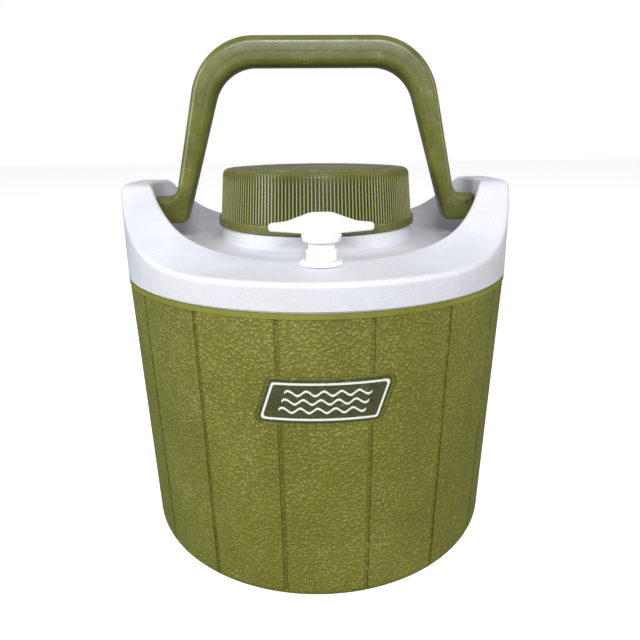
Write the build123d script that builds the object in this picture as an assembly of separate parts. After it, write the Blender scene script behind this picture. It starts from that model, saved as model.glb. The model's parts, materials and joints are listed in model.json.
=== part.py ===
"""Round insulated picnic jug with bail handle, screw cap and pull-out pour stopper.

Frame: origin on the floor at the centre of the base, +Z up, the front (badge and pour
spout) towards -Y, the handle's pivot axis along X.  Millimetres.
"""
import os
from math import atan, cos, degrees, hypot, pi, radians, sin, tan

from build123d import *

# ---------------------------------------------------------------- overall sizes
TOP_R = 115.0            # outer radius of the shell at the joint with the shoulder
BASE_R = 111.0           # outer radius of the shell at the floor
JOINT_Z = 164.4          # height of the joint between shell and shoulder
EAR_H = 50.6             # height of the two ears above the joint
BAIL_REACH = 96.5        # from the pivot axis to the top of the grip

# ---------------------------------------------------------------- clearances
SLIP = 0.30              # moulded parts that pass each other when the object moves
ASSEMBLY = 0.20          # moulded parts that are pushed together once
RUNNING = 0.05           # radial gap of a shaft or seal that runs in its bore
CAP_LIFT = 0.7           # free height between the collar and the screwed-down cap

# ---------------------------------------------------------------- outer shell
SHELL_WALL = 3.0
SHELL_FLOOR = 3.5
BASE_EDGE_R = 6.5        # rounding where the wall meets the floor
STAVES = 16
WIDE_STAVE = 22.5        # degrees taken by the front stave and by the rear stave
STAVE = 21.5             # degrees taken by a plain stave; the two side staves take the rest
GROOVE_W = 2.6
GROOVE_D = 1.5
RIM_BAND_H = 3.0         # smooth band under the joint
RIM_BAND_PROUD = 0.4
GROOVE_BOTTOM_Z = 3.0
FOOT_RING_W = 12.0
FOOT_RING_R = BASE_R - 9.9   # outer radius of the ring that the jug stands on
BASE_RECESS = 2.0
FILL_R = 11.0            # hole through which the foam is poured
FILL_HEAD = 1.0          # thickness of the plug's head
FILL_STEM = 2.5          # wall of the plug's stem
SHADOW_GAP = 1.0         # height of the dark line at the joint
SHADOW_DEPTH = 1.4

# ---------------------------------------------------------------- badge
BADGE_Z = JOINT_Z - 44.1     # height of the badge's centre
BADGE_W = 60.0           # along the wall, between the slanted ends
BADGE_H = 22.6
BADGE_SLANT = 7.3        # how far the top is shifted to the right of the bottom
BADGE_CORNER = 3.0
BADGE_MARGIN = 1.8       # smooth recess around the badge
BADGE_RECESS = 1.2
BADGE_T = 0.8
PRINT_T = 0.15
PRINT_LINE = 1.1         # width of the printed border
PRINT_INSET = 1.4        # from the badge's edge to the border
WAVES = 5                # crests in each printed wave line
WAVE_SWING = 1.2
WAVE_MARGIN = 9.0

# ---------------------------------------------------------------- shoulder
SHOULDER_WALL = 3.0
SHOULDER_DRAFT = 1.0     # the outer wall leans in by this much up to the ears
SPIGOT_H = 8.0           # lip that reaches down inside the shell
SPIGOT_T = 3.0
SPIGOT_LEAD = 0.8        # lead-in chamfer of the lip
SPIGOT_LEDGE = 1.0       # from the ledge's rim to the shell's outer face
EAR_T = 16.5             # from the outer wall to the ear's inner face
RIM_H = 14.3             # height of the low front and rear rim above the joint
DISH_R = TOP_R - EAR_T   # half-width of the well between the ears, along X
WELL_DEPTH_R = 78.0      # half-length of the well along Y
EAR_Z = JOINT_Z + EAR_H
RIM_Z = JOINT_Z + RIM_H
DISH_Z = RIM_Z + 2.4     # floor of the dish beside the neck collar
DISH_LAP = 1.5           # how far the dish runs on inside the ring wall
EAR_SHOULDER_R = 14.0    # rounding of the ear's top corners, seen from the side
EAR_HALF = 25.2          # half-width of the ear's top, to the unrounded corner
EAR_SLOPE = 39.3         # degrees, slope of the ear's flanks
EAR_FOOT_R = 80.0        # large hollow curve from the flank into the rim
RIM_ROUND = 3.0          # outer edge of rim and ears
EAR_INNER_ROUND = 2.0
POCKET_IN = 80.0         # shallow pocket under each foot of the handle
POCKET_HALF = 13.0
POCKET_CORNER = 6.0
POCKET_Z = RIM_Z + 0.4

# ---------------------------------------------------------------- liner and neck
FOAM_T = 19.0            # foam between shell and liner
FOAM_FLOOR = 9.5         # foam between the shell's floor and the liner
LINER_WALL = 2.5
LINER_TOP_R = TOP_R - SHELL_WALL - FOAM_T     # outer radius under the roof
LINER_BASE_R = BASE_R - SHELL_WALL - FOAM_T   # outer radius above the floor
LINER_BASE_Z = SHELL_FLOOR + FOAM_FLOOR
LINER_TOP_Z = JOINT_Z - 7.0                   # where the side wall turns into the roof
ROOF_RISE = 10.0         # the roof climbs this much towards the neck
LINER_EDGE_R = 12.0
NECK_R = 47.6            # outside of the neck, at the root of the thread
NECK_WALL = 2.8
NECK_H = 30.2            # top of the neck above the dish
NECK_TOP_Z = DISH_Z + NECK_H
COLLAR_H = 8.3           # height of the collar above the dish
COLLAR_TOP_Z = DISH_Z + COLLAR_H
COLLAR_TOP_R = NECK_R + 10.4
COLLAR_FOOT_R = NECK_R + 11.7
COLLAR_WALL = 3.0
COLLAR_FLARE = 3.0       # fillet between collar and dish
CAP_BOTTOM_Z = COLLAR_TOP_Z + CAP_LIFT
THREAD_PITCH = 6.35      # four turns to the inch
THREAD_H = 1.7
THREAD_BASE_W = 2.6
THREAD_CREST_W = 1.3
THREAD_TURNS = 2.25      # on the neck
THREAD_Z = CAP_BOTTOM_Z + 3.4    # start of the neck's thread
CAP_THREAD_TURNS = 1.75  # in the cap

# ---------------------------------------------------------------- cap
CAP_TOP_Z = NECK_TOP_Z + 11.3
CAP_FLANGE_R = NECK_R + 12.5
CAP_FLANGE_H = 4.8
CAP_SKIRT_R = NECK_R + 10.9      # over the ribs, at the flange
CAP_CROWN_R = NECK_R + 8.3       # over the ribs, at the top
CAP_WALL = 2.4
CAP_EDGE_R = 3.6         # rounding of the crown, over the ribs
RIBS = 180
RIB_D = 0.7
RIB_BASE_SHARE = 0.56    # part of the pitch taken by a rib's root
RIB_CREST_SHARE = 0.26
CAP_DISC_R = CAP_CROWN_R - 11.0
CAP_DISC_T = 1.7
CAP_DISC_PROUD = 0.5
INNER_WALL = 2.0         # plate of the inner cap
INNER_SKIRT_Z = CAP_BOTTOM_Z + 2.0    # lower end of the inner cap's threaded skirt
PLUG_WALL = 2.0
PLUG_GAP = 2.2           # between the insulating plug and the neck's bore
PLUG_DEPTH = 15.0        # how far the plug dips below the neck's rim
GASKET_T = 2.0

# ---------------------------------------------------------------- bail handle
PIVOT_Z = EAR_Z - 16.7
PIVOT_R = 5.0
HANDLE_TOP_Z = PIVOT_Z + BAIL_REACH   # top of the grip when the bail stands upright
FOOT_H = 16.3
FOOT_GAP = 1.0           # between the handle's foot and the ear, at the pivot
FOOT_OUT = DISH_R - FOOT_GAP          # outer end of the handle's foot
FOOT_IN = FOOT_OUT - 17.6             # inner, lower corner of the foot
LEG_FOOT = FOOT_OUT - 12.5            # where the leg's outer edge meets the foot's top
GRIP_T = 16.5            # thickness of the grip bar
HANDLE_DEPTH = 15.0      # front to back
GRIP_OUT = FOOT_OUT - 32.8            # outer edge line of the leg, at the grip's top line
GRIP_IN = FOOT_OUT - 45.1             # inner edge line of the leg, at the grip's underside
GRIP_BEND_R = 38.0
HAND_BEND_R = 25.0       # inner bend beside the hand
FOOT_BEND_R = 6.0
FOOT_CORNER_R = 5.0
FOOT_END_R = 0.8
SECTION_ROUND = 4.2      # rounding along the handle's edges
BOSS_T = 8.0             # bearing length of the pivot in the ear
BOSS_R = PIVOT_R + 6.5
PIN_BEYOND = 1.0         # pin that stands out past its clip
PIN_ROOM = 0.8           # free space in the foam beyond the pin
CLIP_T = 1.6
CLIP_R = PIVOT_R + 4.5

# ---------------------------------------------------------------- pour spout
SPOUT_Y = -80.0
SPOUT_BORE_R = 4.2
SPOUT_R = SPOUT_BORE_R + 2.4
SPOUT_BEAD_R = SPOUT_R + 1.1
SPOUT_BEAD_H = 5.8
SPOUT_RISE = 11.0        # top of the tube above the dish
SPOUT_BELOW = 2.0        # tube end inside the liner, below its boss
SPOUT_SEAM_W = 0.5       # moulding seam, front and back
SPOUT_SEAM_PROUD = 0.25
BOSS_SPOUT_R = SPOUT_R + 3.4     # flat boss of the liner round the spout
BOSS_SPOUT_Z = LINER_TOP_Z + 5.0
BOSS_SPOUT_H = 8.0
SEAL_WALL = 1.3          # rubber sleeve between tube and boss
SEAL_FLANGE_T = 1.5
GROMMET_R = SPOUT_R + 4.2
GROMMET_T = 1.6
GROMMET_SLEEVE = 1.3     # wall of the grommet where it passes through the dish
GROMMET_BELOW = 1.0      # how far that sleeve reaches below the dish's wall
STOPPER_R = SPOUT_R + 3.6
STOPPER_DRAFT = 0.9      # the stopper's disc is this much smaller at its underside
STOPPER_H = 3.6
STOPPER_PLUG_L = 12.0
WING_HALF = 25.8
WING_T = 4.6             # front to back
WING_RISE = 10.3         # height of the wing at its centre
WING_TIP_LOW = 1.4       # underside of the tip, above the disc
WING_TIP_H = 3.7
WING_CROWN_HALF = 5.0
WING_EDGE_R = 1.4
SEAL_SECTION = 1.1       # radius of the stopper's O-ring


def shell_radius(z):
    """Outer radius of the tapered shell at height z."""
    return BASE_R + (TOP_R - BASE_R) * z / JOINT_Z


def ring(r_out, r_in, z_low, z_high):
    """Plain tube between two radii and two heights."""
    height = z_high - z_low
    outer = Pos(0, 0, (z_low + z_high) / 2) * Cylinder(r_out, height)
    if r_in <= 0:
        return outer
    return outer - Pos(0, 0, (z_low + z_high) / 2) * Cylinder(r_in, height + 2)


def turned(points):
    """Solid of revolution about Z from (radius, height) points."""
    outline = Polyline(*[(r, 0, z) for r, z in points], close=True)
    return revolve(make_face(outline), Axis.Z)


def cone_between(r_low, z_low, r_high, z_high):
    """Solid cone frustum on the axis."""
    return turned([(0, z_low), (r_low, z_low), (r_high, z_high), (0, z_high)])


def stave_angles():
    """Directions of the grooves, in degrees from +X; the badge's stave faces -Y."""
    per_quarter = STAVES // 4
    angles = []
    for middle in (-90, 90):
        for mark in (-1, 1):
            for i in range(per_quarter):
                angles.append(middle + mark * (WIDE_STAVE / 2 + i * STAVE))
    return angles


def helical_thread(radius, outward, z_start, turns):
    """Trapezoid thread ridge rooted in a round wall; outward is +1 or -1."""
    root = radius - outward * 0.4
    crest = radius + outward * THREAD_H
    half_root = THREAD_BASE_W / 2
    half_crest = THREAD_CREST_W / 2
    path = Pos(0, 0, z_start) * Helix(THREAD_PITCH, THREAD_PITCH * turns, radius)
    section = make_face(Polyline(
        (root, 0, z_start - half_root),
        (crest, 0, z_start - half_crest),
        (crest, 0, z_start + half_crest),
        (root, 0, z_start + half_root),
        close=True,
    ))
    return sweep(section, path=path, is_frenet=True)


# ================================================================ body
def badge_outline(grow):
    """Rounded parallelogram seen from the front, grown all round by grow."""
    half_w = BADGE_W / 2 + grow
    half_h = BADGE_H / 2 + grow
    lean = BADGE_SLANT / 2 * half_h / (BADGE_H / 2)
    corners = [
        (-half_w - lean, -half_h),
        (half_w - lean, -half_h),
        (half_w + lean, half_h),
        (-half_w + lean, half_h),
    ]
    shape = make_face(Polyline(*corners, close=True))
    return fillet(shape.vertices(), BADGE_CORNER + max(grow, -BADGE_CORNER / 2))


def pushed_back(face):
    """A front-view face (x to the right, y up from the badge's centre) as a deep prism."""
    reach = 10
    front = Plane(origin=(0, -TOP_R - reach, BADGE_Z), x_dir=(1, 0, 0), z_dir=(0, -1, 0))
    return extrude(front * face, -3 * reach)


def badge_prism(grow):
    """The badge outline pushed straight back through the front wall."""
    return pushed_back(badge_outline(grow))


def badge_layer(grow, depth_out, depth_in):
    """Curved sheet under the badge outline, between two depths below the wall's face."""
    low = BADGE_Z - BADGE_H
    high = BADGE_Z + BADGE_H
    outer = cone_between(shell_radius(low) - depth_out, low, shell_radius(high) - depth_out, high)
    inner = cone_between(shell_radius(low) - depth_in, low, shell_radius(high) - depth_in, high)
    return (outer - inner) & badge_prism(grow)


def outer_shell():
    """Staved shell with its floor, foot ring, foam hole and badge recess."""
    skin = RIM_BAND_PROUD
    band_z = JOINT_Z - RIM_BAND_H
    outside = turned([
        (0, 0),
        (shell_radius(0), 0),
        (shell_radius(band_z) - skin, band_z),
        (shell_radius(band_z), band_z + skin),
        (TOP_R, JOINT_Z),
        (0, JOINT_Z),
    ])
    low_edge = outside.edges().filter_by(GeomType.CIRCLE).sort_by(Axis.Z)[0]
    outside = fillet(low_edge, BASE_EDGE_R)
    cavity = cone_between(
        shell_radius(SHELL_FLOOR) - SHELL_WALL, SHELL_FLOOR,
        TOP_R - SHELL_WALL, JOINT_Z,
    )
    shell = outside - cavity
    shell -= ring(FOOT_RING_R - FOOT_RING_W, 0, -1, BASE_RECESS)
    shell -= ring(FILL_R, 0, -1, SHELL_FLOOR + 1)
    shell -= badge_layer(BADGE_MARGIN, -2.0, BADGE_RECESS)
    lean = degrees(atan((TOP_R - BASE_R) / JOINT_Z))
    length = hypot(band_z - GROOVE_BOTTOM_Z, shell_radius(band_z) - shell_radius(GROOVE_BOTTOM_Z))
    mid_z = (band_z + GROOVE_BOTTOM_Z) / 2
    bar = Box(2 * GROOVE_D, GROOVE_W, length)
    bar = fillet(bar.edges().filter_by(Axis.Z), GROOVE_W / 4)
    badge_zone = badge_prism(BADGE_MARGIN)
    tools = []
    for angle in stave_angles():
        place = Rot(0, 0, angle) * Pos(shell_radius(mid_z) - skin / 2, 0, mid_z) * Rot(0, lean, 0)
        tool = place * bar
        if abs(angle + 90) < WIDE_STAVE:
            tool = tool - badge_zone
        tools.append(tool)
    return shell - tools


def fill_plug():
    """Press-in plug that closes the foam hole in the floor."""
    neck_r = FILL_R - RUNNING
    stem = ring(neck_r, neck_r - FILL_STEM, BASE_RECESS, SHELL_FLOOR)
    head = ring(neck_r, 0, BASE_RECESS, BASE_RECESS + FILL_HEAD)
    return head + stem


def badge_plate():
    """Foil plate laid in the recess of the front stave."""
    return badge_layer(0, BADGE_RECESS - BADGE_T, BADGE_RECESS)


def wave_ribbon(row):
    """Front view of one wave line of the badge's print; rows are -1, 0 and 1."""
    z = row * BADGE_H / 5
    middle = BADGE_SLANT * z / BADGE_H
    half = BADGE_W / 2 - WAVE_MARGIN
    steps = 4 * WAVES
    edges = []
    for side in (-1, 1):
        crests = []
        for i in range(steps + 1):
            share = i / steps
            lift = WAVE_SWING * sin(2 * pi * WAVES * share)
            crests.append((middle - half + 2 * half * share, z + lift + side * PRINT_LINE / 2))
        edges.append(Spline(*crests))
    low, high = edges
    return make_face([low, Line(low @ 1, high @ 1), high, Line(high @ 0, low @ 0)])


def badge_print():
    """Raised print on the plate: a border line and three plain wave lines."""
    top = BADGE_RECESS - BADGE_T - PRINT_T
    bottom = BADGE_RECESS - BADGE_T
    border = badge_layer(-PRINT_INSET, top, bottom)
    border -= badge_prism(-PRINT_INSET - PRINT_LINE)
    sheet = badge_layer(-PRINT_INSET, top, bottom)
    solids = list(border.solids())
    for row in (-1, 0, 1):
        solids += (sheet & pushed_back(wave_ribbon(row))).solids()
    return Compound(children=solids)


# ================================================================ shoulder
def dish_floor_z(r):
    """Height of the dish at radius r; it falls gently from the collar to the rim."""
    share = (r - COLLAR_FOOT_R) / (dish_edge_radius() - COLLAR_FOOT_R)
    return DISH_Z - (DISH_Z - RIM_Z) * share


def dish_edge_radius():
    """Radius where the dish meets the rim's flat top, inside the rim's rounding."""
    return TOP_R - SHOULDER_DRAFT - RIM_ROUND - 2.0


def dish_solid(inset):
    """Disc under the dish floor, lowered by inset; its edge ends inside the ring wall."""
    edge_r = dish_edge_radius() + DISH_LAP
    return turned([
        (0, JOINT_Z),
        (edge_r - inset, JOINT_Z),
        (edge_r - inset, dish_floor_z(edge_r) - inset),
        (COLLAR_FOOT_R, DISH_Z - inset),
        (0, DISH_Z - inset),
    ])


def ear_profile(inset):
    """Ear, flanks and rim seen from the side, as a face in the YZ plane."""
    floor_z = RIM_Z - inset
    top_z = EAR_Z - inset
    back_off = inset * tan(radians(EAR_SLOPE / 2))
    toe = EAR_HALF + (EAR_Z - RIM_Z) / tan(radians(EAR_SLOPE)) - back_off
    head = EAR_HALF - back_off
    far = TOP_R + 20
    top_line = FilletPolyline(
        (-far, floor_z),
        (-toe, floor_z),
        (-head, top_z),
        (head, top_z),
        (toe, floor_z),
        (far, floor_z),
        radius=[
            EAR_FOOT_R + inset,
            EAR_SHOULDER_R - inset,
            EAR_SHOULDER_R - inset,
            EAR_FOOT_R + inset,
        ],
    )
    sides = Polyline((far, floor_z), (far, JOINT_Z), (-far, JOINT_Z), (-far, floor_z))
    return Plane.YZ * make_face(top_line + sides)


def well(inset):
    """Oval column between the ears, grown by inset; its long axis runs along X."""
    outline = Ellipse(DISH_R + inset, WELL_DEPTH_R + inset)
    return Pos(0, 0, JOINT_Z - 1) * extrude(outline, EAR_H + 10)


def ear_ring(inset):
    """Ring wall that rises into the two ears, before it is merged with the dish."""
    wall = turned([
        (0, JOINT_Z),
        (TOP_R - inset, JOINT_Z),
        (TOP_R - SHOULDER_DRAFT - inset, EAR_Z + 5),
        (0, EAR_Z + 5),
    ])
    return (wall & extrude(ear_profile(inset), TOP_R + 10, both=True)) - well(inset)


def on_well_wall(point):
    """True for a point on the oval wall between the ears."""
    return abs(hypot(point.X / DISH_R, point.Y / WELL_DEPTH_R) - 1) < 0.01


def soft_ear_ring():
    """The ring wall with its top edges rounded, outside and inside."""
    wall = ear_ring(0)
    top = [e for e in wall.edges() if (e @ 0.5).Z > RIM_Z - 0.5 and e.length > 1.0]
    wall = fillet([e for e in top if not on_well_wall(e @ 0.5)], RIM_ROUND)
    top = [e for e in wall.edges() if (e @ 0.5).Z > RIM_Z - 0.5 and e.length > 1.0]
    return fillet([e for e in top if on_well_wall(e @ 0.5)], EAR_INNER_ROUND)


def shoulder_form(inset):
    """The shoulder's outer form, with every face moved inwards by inset."""
    ears = ear_ring(inset) if inset else soft_ear_ring()
    return dish_solid(inset) + ears


def pockets(inset):
    """Shallow pockets under the handle's feet."""
    x_out = DISH_R + inset
    x_in = POCKET_IN - inset
    height = EAR_Z - POCKET_Z
    shape = None
    for mark in (-1, 1):
        block = Pos(mark * (x_in + x_out) / 2, 0, POCKET_Z - inset + height / 2) * Box(
            x_out - x_in, 2 * (POCKET_HALF + inset), height)
        inner = block.edges().filter_by(Axis.Z).sort_by(lambda e: abs(e.center().X))[:2]
        block = fillet(inner, POCKET_CORNER)
        shape = block if shape is None else shape + block
    return shape & well(inset)


def spout_seat():
    """Cutter that makes a flat seat for the grommet in the dish."""
    return ring_at_spout(GROMMET_R + ASSEMBLY, spout_floor_z(), EAR_Z)


def shoulder():
    """White top with its two ears, dish, neck collar, pivot bores and spigot."""
    body = shoulder_form(0)
    body -= pockets(0)
    hollow = shoulder_form(SHOULDER_WALL) - pockets(SHOULDER_WALL)
    body -= hollow
    collar = turned([
        (COLLAR_FOOT_R - COLLAR_WALL, DISH_Z - SHOULDER_WALL),
        (COLLAR_FOOT_R + COLLAR_FLARE, dish_floor_z(COLLAR_FOOT_R) - SHOULDER_WALL),
        (COLLAR_FOOT_R + COLLAR_FLARE, dish_floor_z(COLLAR_FOOT_R + COLLAR_FLARE)),
        (COLLAR_FOOT_R + COLLAR_FLARE * 0.3, dish_floor_z(COLLAR_FOOT_R) + COLLAR_FLARE * 0.25),
        (COLLAR_FOOT_R, dish_floor_z(COLLAR_FOOT_R) + COLLAR_FLARE * 0.7),
        (COLLAR_TOP_R, COLLAR_TOP_Z),
        (NECK_R + ASSEMBLY, COLLAR_TOP_Z),
        (NECK_R + ASSEMBLY, COLLAR_TOP_Z - COLLAR_WALL),
        (COLLAR_TOP_R - COLLAR_WALL, COLLAR_TOP_Z - COLLAR_WALL),
    ])
    body -= ring(COLLAR_FOOT_R - 1, 0, JOINT_Z - 5, DISH_Z + 5)
    body += collar
    spigot_r = TOP_R - SHELL_WALL - ASSEMBLY
    spigot_low_r = spigot_r - (TOP_R - BASE_R) / JOINT_Z * SPIGOT_H
    spigot = turned([
        (spigot_r - SPIGOT_T, JOINT_Z - SPIGOT_H),
        (spigot_low_r - SPIGOT_LEAD, JOINT_Z - SPIGOT_H),
        (spigot_low_r, JOINT_Z - SPIGOT_H + 2 * SPIGOT_LEAD),
        (spigot_r, JOINT_Z),
        (TOP_R - SPIGOT_LEDGE, JOINT_Z),
        (TOP_R - SPIGOT_LEDGE, JOINT_Z + SPIGOT_T),
        (spigot_r - SPIGOT_T, JOINT_Z + SPIGOT_T),
    ])
    body += spigot
    body -= ring(TOP_R + 5, TOP_R - SHADOW_DEPTH, JOINT_Z - 2, JOINT_Z + SHADOW_GAP)
    for mark in (-1, 1):
        body += pivot_boss(mark)
        body -= along_pivot(mark, PIVOT_R + RUNNING, DISH_R - 5, DISH_R + BOSS_T + 1)
    body -= spout_seat() + ring_at_spout(sleeve_radius() + ASSEMBLY, JOINT_Z, EAR_Z)
    return body


def along_pivot(mark, radius, x_from, x_to):
    """Round bar on the handle's pivot axis, on the side given by mark."""
    bar = Rot(0, 90, 0) * Cylinder(radius, x_to - x_from)
    return Pos(mark * (x_from + x_to) / 2, 0, PIVOT_Z) * bar


def pivot_boss(mark):
    """Thick round bearing behind the ear's inner wall."""
    return along_pivot(mark, BOSS_R, DISH_R + SHOULDER_WALL / 2, DISH_R + BOSS_T)


def pin_end():
    """How far out the handle's pins reach, past their clips."""
    return DISH_R + BOSS_T + SLIP + CLIP_T + PIN_BEYOND


def sleeve_radius():
    """Outer radius of the grommet's sleeve in the dish floor."""
    return SPOUT_R + RUNNING + GROMMET_SLEEVE


def ring_at_spout(radius, z_low, z_high):
    """Round cutter on the spout's axis."""
    return Pos(0, SPOUT_Y, 0) * ring(radius, 0, z_low, z_high)


# ================================================================ liner
def roof_z(r):
    """Outer surface of the liner's roof at radius r."""
    return LINER_TOP_Z + ROOF_RISE * (LINER_TOP_R - r) / (LINER_TOP_R - NECK_R)


def liner_body(wall):
    """Tank of the liner without its neck, with every face moved inwards by wall."""
    tank = turned([
        (0, LINER_BASE_Z + wall),
        (LINER_BASE_R - wall, LINER_BASE_Z + wall),
        (LINER_TOP_R - wall, LINER_TOP_Z - wall),
        (NECK_R - wall, roof_z(NECK_R) - wall),
        (0, roof_z(NECK_R) - wall),
    ])
    rounds = tank.edges().filter_by(GeomType.CIRCLE).sort_by(Axis.Z)
    wide = [e for e in rounds if e.radius > LINER_BASE_R - 2 * wall - 1]
    return fillet(wide, LINER_EDGE_R - wall)


def liner():
    """White tank with its neck, the neck's outside thread and the boss for the spout."""
    bore_r = NECK_R - NECK_WALL
    tank = liner_body(0) + ring(NECK_R, 0, roof_z(NECK_R) - 2, NECK_TOP_Z)
    tank += ring_at_spout(BOSS_SPOUT_R, BOSS_SPOUT_Z - BOSS_SPOUT_H, BOSS_SPOUT_Z)
    tank -= liner_body(LINER_WALL)
    tank -= ring(bore_r, 0, roof_z(NECK_R) - 10, NECK_TOP_Z + 1)
    tank += ring_at_spout(BOSS_SPOUT_R, BOSS_SPOUT_Z - BOSS_SPOUT_H, BOSS_SPOUT_Z)
    seat_r = SPOUT_R + RUNNING + SEAL_WALL + RUNNING
    tank -= ring_at_spout(seat_r, BOSS_SPOUT_Z - BOSS_SPOUT_H - 5, BOSS_SPOUT_Z + 5)
    rim = tank.edges().filter_by(GeomType.CIRCLE).sort_by(Axis.Z)[-2:]
    tank = fillet(rim, NECK_WALL / 4)
    return tank + helical_thread(NECK_R, 1, THREAD_Z, THREAD_TURNS)


def neck_seal():
    """Rubber ring between the neck and the collar, under the collar's lip."""
    lip_z = COLLAR_TOP_Z - COLLAR_WALL
    return ring(COLLAR_TOP_R - COLLAR_WALL - ASSEMBLY, NECK_R, lip_z - COLLAR_WALL, lip_z)


def body_foam():
    """Foam that fills everything between shell, shoulder and liner."""
    lip_z = JOINT_Z - SPIGOT_H
    lip_r = TOP_R - SHELL_WALL - ASSEMBLY - SPIGOT_T
    lower = cone_between(
        shell_radius(SHELL_FLOOR) - SHELL_WALL, SHELL_FLOOR,
        shell_radius(lip_z) - SHELL_WALL, lip_z,
    )
    upper = shoulder_form(SHOULDER_WALL) - pockets(SHOULDER_WALL)
    upper -= ring(TOP_R, lip_r, JOINT_Z - 1, JOINT_Z + SPIGOT_T)
    fill = lower + ring(lip_r, 0, lip_z - 1, JOINT_Z + 1) + upper
    fill -= ring(COLLAR_FOOT_R - COLLAR_WALL - 1, 0, DISH_Z - SHOULDER_WALL - 1, EAR_Z)
    fill -= liner_body(0) + ring(NECK_R, 0, roof_z(NECK_R) - 2, NECK_TOP_Z)
    fill -= ring_at_spout(BOSS_SPOUT_R, BOSS_SPOUT_Z - BOSS_SPOUT_H, BOSS_SPOUT_Z + SEAL_FLANGE_T)
    fill -= ring_at_spout(sleeve_radius(), BOSS_SPOUT_Z, RIM_Z + 5)
    for mark in (-1, 1):
        fill -= along_pivot(mark, BOSS_R, DISH_R - 5, pin_end() + PIN_ROOM)
    return fill


# ================================================================ pour spout
def spout_floor_z():
    """Height of the dish on the spout's axis."""
    return dish_floor_z(abs(SPOUT_Y))


def spout_top_z():
    """Height of the spout's upper end."""
    return spout_floor_z() + SPOUT_RISE


def spout_grommet():
    """White collar ring that seats the spout in the dish."""
    seat = spout_floor_z()
    low = seat - SHOULDER_WALL - GROMMET_BELOW
    flange = ring_at_spout(GROMMET_R, seat, seat + GROMMET_T)
    flange = fillet(flange.edges().sort_by(Axis.Z)[-1], GROMMET_T * 0.4)
    sleeve = ring_at_spout(sleeve_radius(), low, seat + GROMMET_T / 2)
    return flange + sleeve - ring_at_spout(SPOUT_R + RUNNING, low - 5, EAR_Z)


def pour_spout():
    """White tube from the tank to above the dish, with a bead and two seam lines."""
    low = BOSS_SPOUT_Z - BOSS_SPOUT_H - SPOUT_BELOW
    tube = ring_at_spout(SPOUT_R, low, spout_top_z())
    bead_z = spout_floor_z() + GROMMET_T
    bead = ring_at_spout(SPOUT_BEAD_R, bead_z, bead_z + SPOUT_BEAD_H)
    bead = fillet(bead.edges().filter_by(GeomType.CIRCLE), 1.1)
    seam_depth = 2 * (SPOUT_R + SPOUT_SEAM_PROUD)
    seam_h = spout_top_z() - bead_z - SPOUT_BEAD_H - 0.3
    seam = Pos(0, SPOUT_Y, bead_z + SPOUT_BEAD_H + seam_h / 2) * Box(
        SPOUT_SEAM_W, seam_depth, seam_h + 1)
    bead_seam = Pos(0, SPOUT_Y, bead_z + SPOUT_BEAD_H / 2) * Box(
        SPOUT_SEAM_W, 2 * (SPOUT_BEAD_R + SPOUT_SEAM_PROUD), SPOUT_BEAD_H - 2.6)
    body = tube + bead + (seam & ring_at_spout(SPOUT_BEAD_R, bead_z, spout_top_z() - 0.3)) + bead_seam
    return body - ring_at_spout(SPOUT_BORE_R, low - 5, EAR_Z)


def spout_seal():
    """Rubber sleeve that seals the tube in the liner's boss."""
    low = BOSS_SPOUT_Z - BOSS_SPOUT_H
    sleeve = ring_at_spout(SPOUT_R + RUNNING + SEAL_WALL, low, BOSS_SPOUT_Z + 0.1)
    flange = ring_at_spout(BOSS_SPOUT_R, BOSS_SPOUT_Z, BOSS_SPOUT_Z + SEAL_FLANGE_T)
    return sleeve + flange - ring_at_spout(SPOUT_R, low - 5, EAR_Z)


def seal_torus():
    """The O-ring's shape, centred half-way down the stopper's plug."""
    major = SPOUT_BORE_R - RUNNING - SEAL_SECTION
    z = spout_top_z() + SLIP - STOPPER_PLUG_L / 2
    return Pos(0, SPOUT_Y, z) * Torus(major, SEAL_SECTION)


def wing_outline():
    """Front view of the stopper's winged grip, heights above the disc's top."""
    tip_top = WING_TIP_LOW + WING_TIP_H
    tip_r = WING_TIP_H * 0.45
    path = FilletPolyline(
        (0, -0.6),
        (WING_HALF, WING_TIP_LOW),
        (WING_HALF, tip_top),
        (WING_HALF * 0.67, tip_top + 0.8),
        (WING_CROWN_HALF, WING_RISE),
        (-WING_CROWN_HALF, WING_RISE),
        (-WING_HALF * 0.67, tip_top + 0.8),
        (-WING_HALF, tip_top),
        (-WING_HALF, WING_TIP_LOW),
        radius=[30.0, tip_r, tip_r, 14.0, 9.0, 9.0, 14.0, tip_r, tip_r],
        close=True,
    )
    return make_face(path)


def spout_stopper():
    """Pull-out stopper: plug, disc and winged grip."""
    low = spout_top_z() + SLIP
    disc = Pos(0, SPOUT_Y, 0) * cone_between(
        STOPPER_R - STOPPER_DRAFT, low, STOPPER_R, low + STOPPER_H)
    disc = fillet(disc.edges().filter_by(GeomType.CIRCLE), 0.6)
    grip = extrude(Plane.XZ * wing_outline(), WING_T / 2, both=True)
    faces = grip.faces().filter_by(Axis.Y)
    grip = fillet([e for face in faces for e in face.edges()], WING_EDGE_R)
    grip = Pos(0, SPOUT_Y, low + STOPPER_H) * grip
    plug = ring_at_spout(SPOUT_BORE_R - SLIP, low - STOPPER_PLUG_L, low + 1)
    return disc + grip + plug - seal_torus()


def stopper_seal():
    """O-ring in the plug's groove."""
    return seal_torus()


# ================================================================ cap
def skirt_radius(z):
    """Radius over the cap's ribs at height z."""
    base_z = CAP_BOTTOM_Z + CAP_FLANGE_H
    share = (z - base_z) / (CAP_TOP_Z - base_z)
    return CAP_SKIRT_R + (CAP_CROWN_R - CAP_SKIRT_R) * share


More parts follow.
